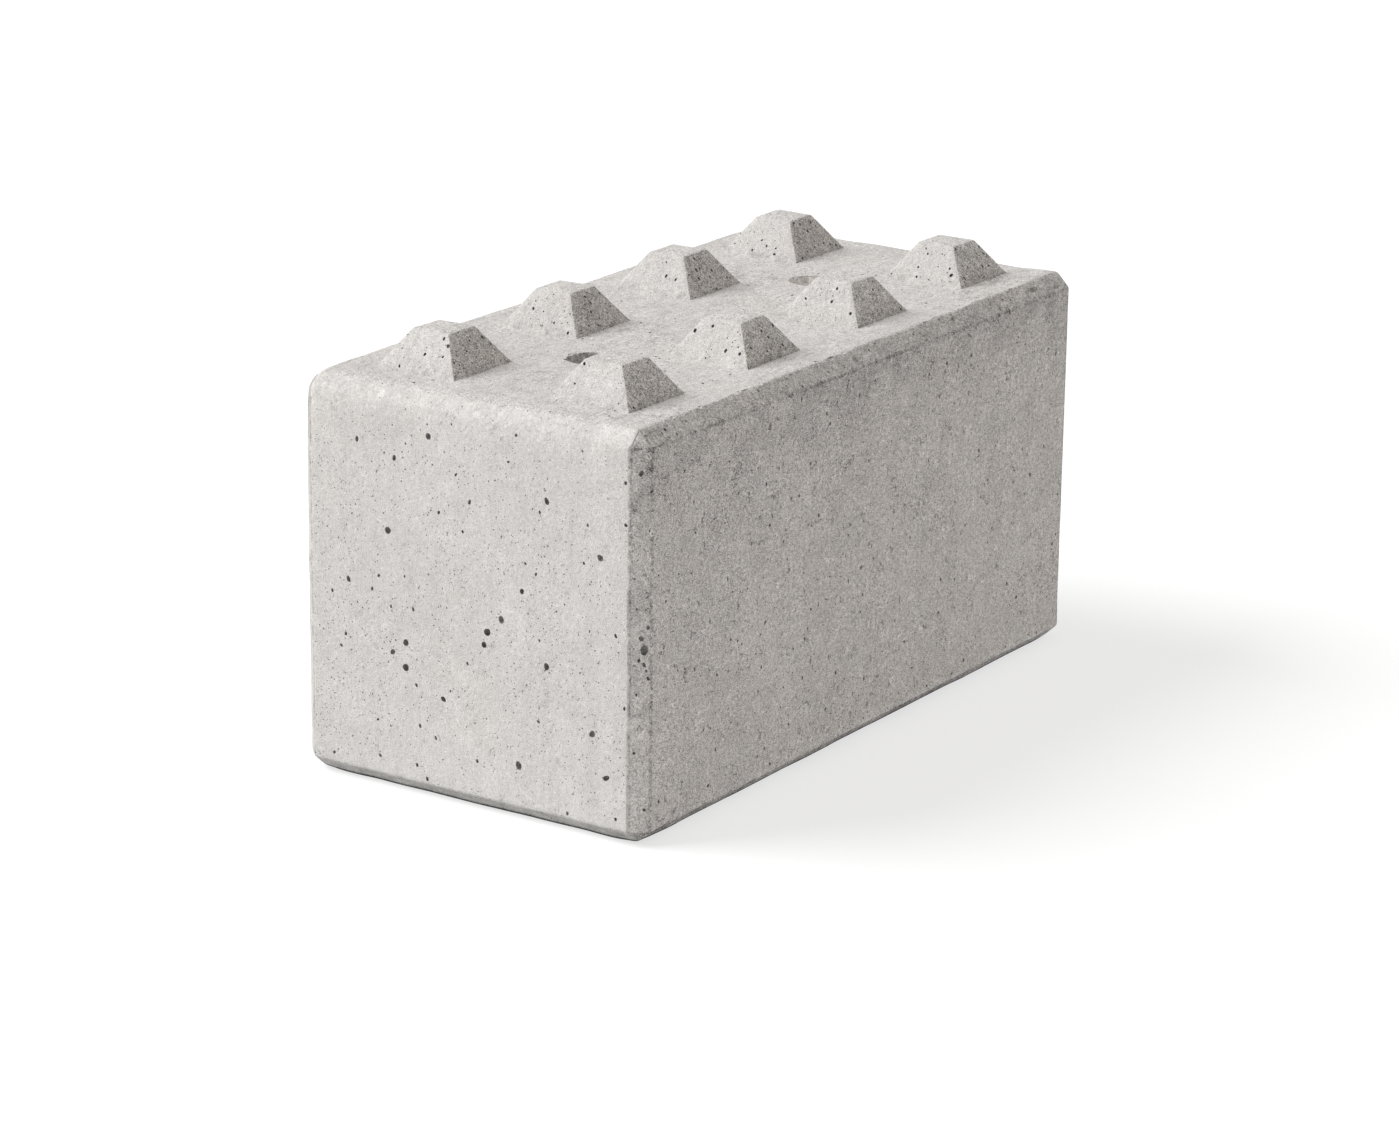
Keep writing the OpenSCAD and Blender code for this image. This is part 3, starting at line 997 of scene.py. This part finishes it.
def rimChips(rng, x):
    n, *ranges = chips["rim"]
    turn = rng.uniform(0, 2 * math.pi, n)
    c, s, zero = np.cos(turn), np.sin(turn), np.zeros(n)
    spots = np.stack([x + recess["radius"] * c, recess["radius"] * s, zero + topZ], axis=1)
    alongs, outs = np.stack([-s, c, zero], axis=1), np.tile([0, 0, 1.0], (n, 1))
    return spots, alongs, outs, drawSizes(rng, ranges, n, 1.5)


def chipLumps(seed):
    # chips along every edge, round the recesses, and the bruises; largest first, none on top of another
    rng = np.random.default_rng(seed)
    sets = [edgeChips(rng, *edge) for edge in chipEdges()]
    sets += [rimChips(rng, x) for x in recessXs]
    for place, size in chips["bruises"]:
        out = (0, math.copysign(0.7, place[1]), 0.7)
        sets.append(tuple(np.array([v]) for v in (place, (1.0, 0, 0), out, size)))
    spots, alongs, outs, sizes = (np.concatenate(part) for part in zip(*sets))
    order = np.argsort(-sizes[:, 0])
    order = order[keepApart(spots[order], sizes[order, 0], 1.35)]
    spots, alongs, outs, sizes = spots[order], alongs[order], outs[order], sizes[order]
    across = np.cross(outs, alongs)
    across /= np.linalg.norm(across, axis=1, keepdims=True)
    outs = np.cross(alongs, across)
    print("chips:", len(spots))
    return [lumps(spots, alongs, across, outs, sizes, 5, 8, chips["roughness"], seed + 1)]


recess = {
    "radius": 0.047,
    "roughness": 0.05,
    "levels": (1.05, 1.50),  # how bright inside: the right one is painted pale, painted light over the shade in its bowl
}
recessXs = [sum(c.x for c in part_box(n)) / 2 for n in ("lifting_anchor_left", "lifting_anchor_right")]


def recessLump(x, seed):
    eye = np.eye(3)[None]
    return [lumps(np.array([[x, 0, topZ]]), eye[:, 0], eye[:, 1], eye[:, 2],
                  np.full((1, 3), recess["radius"]), 24, 48, recess["roughness"], seed)]


def makeCasting():
    # the closed casting, then the recesses, the chips and the bug holes cut out of it
    grey = concreteLook["colour"]
    skin = makeConcrete(concreteLook)
    # the bug holes are darker from a few millimetres down: painted shade
    pore = makeHollow("concretePoreShade", grey, 1.05, 0.42, 0.5)
    piece = newObject("concreteCasting", castingMesh())
    piece.data.materials.append(skin)
    for i, (x, level) in enumerate(zip(recessXs, recess["levels"])):
        hollow = makeHollow("hollow" + str(i), grey, 1.1, level, 2.4)
        cutWith(piece, "recess" + str(i), recessLump(x, 40 + i), hollow)
    cutWith(piece, "chips", chipLumps(31), skin)
    cutWith(piece, "bubbles", bubbleLumps(11), pore)
    dropFlakes(piece.data)
    piece.data.shade_smooth()
    piece.data.set_sharp_from_angle(angle=math.radians(38))
    print("casting triangles:", sum(len(p.vertices) - 2 for p in piece.data.polygons))
    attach(piece, "root")
    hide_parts("concrete_block")


makeCasting()


castIn = {
    # kind: colour, second colour in patches, roughness of each, metallic, patches per metre, bump in metres
    "zinc": ((0.34, 0.35, 0.36), (0.20, 0.19, 0.175), (0.48, 0.85), 0.8, 60, 0.0006),
    "barSteel": ((0.115, 0.075, 0.055), (0.235, 0.105, 0.050), (0.62, 0.92), 0.35, 90, 0.0008),
    "mortar": ((0.33, 0.325, 0.30), (0.24, 0.235, 0.215), (0.95, 0.90), 0.0, 45, 0.0010),
    "ribPitch": 0.008,  # between the rolled ribs of the bars
    "ribHeight": 0.0009,
}


def makeCastIn(name, ribAxis=None):
    # two finishes mixed by a patchy noise, with grain over both; on the bars, rolled ribs too
    first, second, roughness, metallic, cells, bumpHeight = castIn[name]
    material, shader = newMaterial(name + (ribAxis or ""), first, roughness[0], metallic)
    t = paintTools(material)
    patched = t.ramp(t.noise(t.where, cells, 5, 0.65), -0.10, 0.12)
    grain = t.noise(t.where, 700, 2)
    colour = t.add("Mix", {0: patched, 6: (*first, 1), 7: (*second, 1)}, 2, data_type="RGBA")
    colour = t.scaled(colour, t.math2("ADD", t.times(grain, 0.7), 1.0))
    t.tree.links.new(t.ramp(patched, 0, 1, *roughness), shader.inputs["Roughness"])
    height = t.total([(bumpHeight, t.noise(t.where, cells * 4, 4, 0.6)), (bumpHeight * 0.5, grain)])
    if ribAxis:
        # leaning ribs: a wave along the bar, shifted by the height across it
        along, across = {"X": (t.x, t.z), "Z": (t.z, t.x)}[ribAxis]
        turns = t.times(t.math2("ADD", along, t.times(across, 0.5)), 2 * math.pi / castIn["ribPitch"])
        rib = t.ramp(t.math2("SINE", turns), 0.35, 0.85)
        height = t.add("Math", {0: rib, 1: castIn["ribHeight"], 2: height}, operation="MULTIPLY_ADD")
    t.finish(shader, colour, height)
    return material


def dressCastIn():
    finishes = {
        "lifting_anchor": makeCastIn("zinc"), "spacer": makeCastIn("mortar"),
        "link": makeCastIn("barSteel", "Z"), "bar": makeCastIn("barSteel", "X"),
    }
    for name, node in frame["nodes"].items():
        for kind, finish in finishes.items():
            if kind in name:
                node.data.materials.clear()
                node.data.materials.append(finish)
    print("cast-in steel and mortar dressed")


dressCastIn()


studio = {
    "keyFrom": (-0.365, 0.62, 0.70),
    "keyStrength": 3.5,
    "keyColour": (0.985, 0.992, 1.0),
    "keyAngle": 38,  # degrees across: wider is softer
    "fill": 0.37,
    "fillColour": (1.0, 0.985, 0.955),
    "backdrop": 1.0,
    "floorHalf": 60,  # metres
    "floorGrey": 0.34,
    "floorGlow": 0.68,  # keeps the floor pale in the shadow
}


def makeFloor(s):
    mesh = bpy.data.meshes.new("floor")
    h = s["floorHalf"]
    mesh.from_pydata([(-h, -h, 0), (h, -h, 0), (h, h, 0), (-h, h, 0)], [], [(0, 1, 2, 3)])
    floor = newObject("floor", mesh)
    paint, shader = newMaterial("floor", (s["floorGrey"],) * 3, 0.9)
    shader.inputs["Emission Color"].default_value = (1, 1, 1, 1)
    shader.inputs["Emission Strength"].default_value = s["floorGlow"]
    mesh.materials.append(paint)


def makeLight(s):
    data = bpy.data.lights.new("key", "SUN")
    data.energy = s["keyStrength"]
    data.angle = math.radians(s["keyAngle"])
    data.color = s["keyColour"]
    key = newObject("key", data)
    key.rotation_euler = Vector(s["keyFrom"]).to_track_quat("Z", "Y").to_euler()
    world = bpy.data.worlds.new("studio")
    world.use_nodes = True
    tree = world.node_tree
    fill = tree.nodes["Background"]
    fill.inputs["Color"].default_value = (*s["fillColour"], 1)
    fill.inputs["Strength"].default_value = s["fill"]
    # the backdrop above the floor is as pale as the floor, but lights nothing
    backdrop = tree.nodes.new("ShaderNodeBackground")
    seen = tree.nodes.new("ShaderNodeLightPath")
    mix = tree.nodes.new("ShaderNodeMixShader")
    tree.links.new(seen.outputs["Is Camera Ray"], mix.inputs[0])
    tree.links.new(fill.outputs[0], mix.inputs[1])
    tree.links.new(backdrop.outputs[0], mix.inputs[2])
    backdrop.inputs["Color"].default_value = (1, 1, 1, 1)
    backdrop.inputs["Strength"].default_value = s["backdrop"]
    tree.links.new(mix.outputs[0], tree.nodes["World Output"].inputs["Surface"])
    bpy.context.scene.world = world
    bpy.context.scene.view_settings.view_transform = "Standard"


makeFloor(studio)
makeLight(studio)
print("floor and light made")
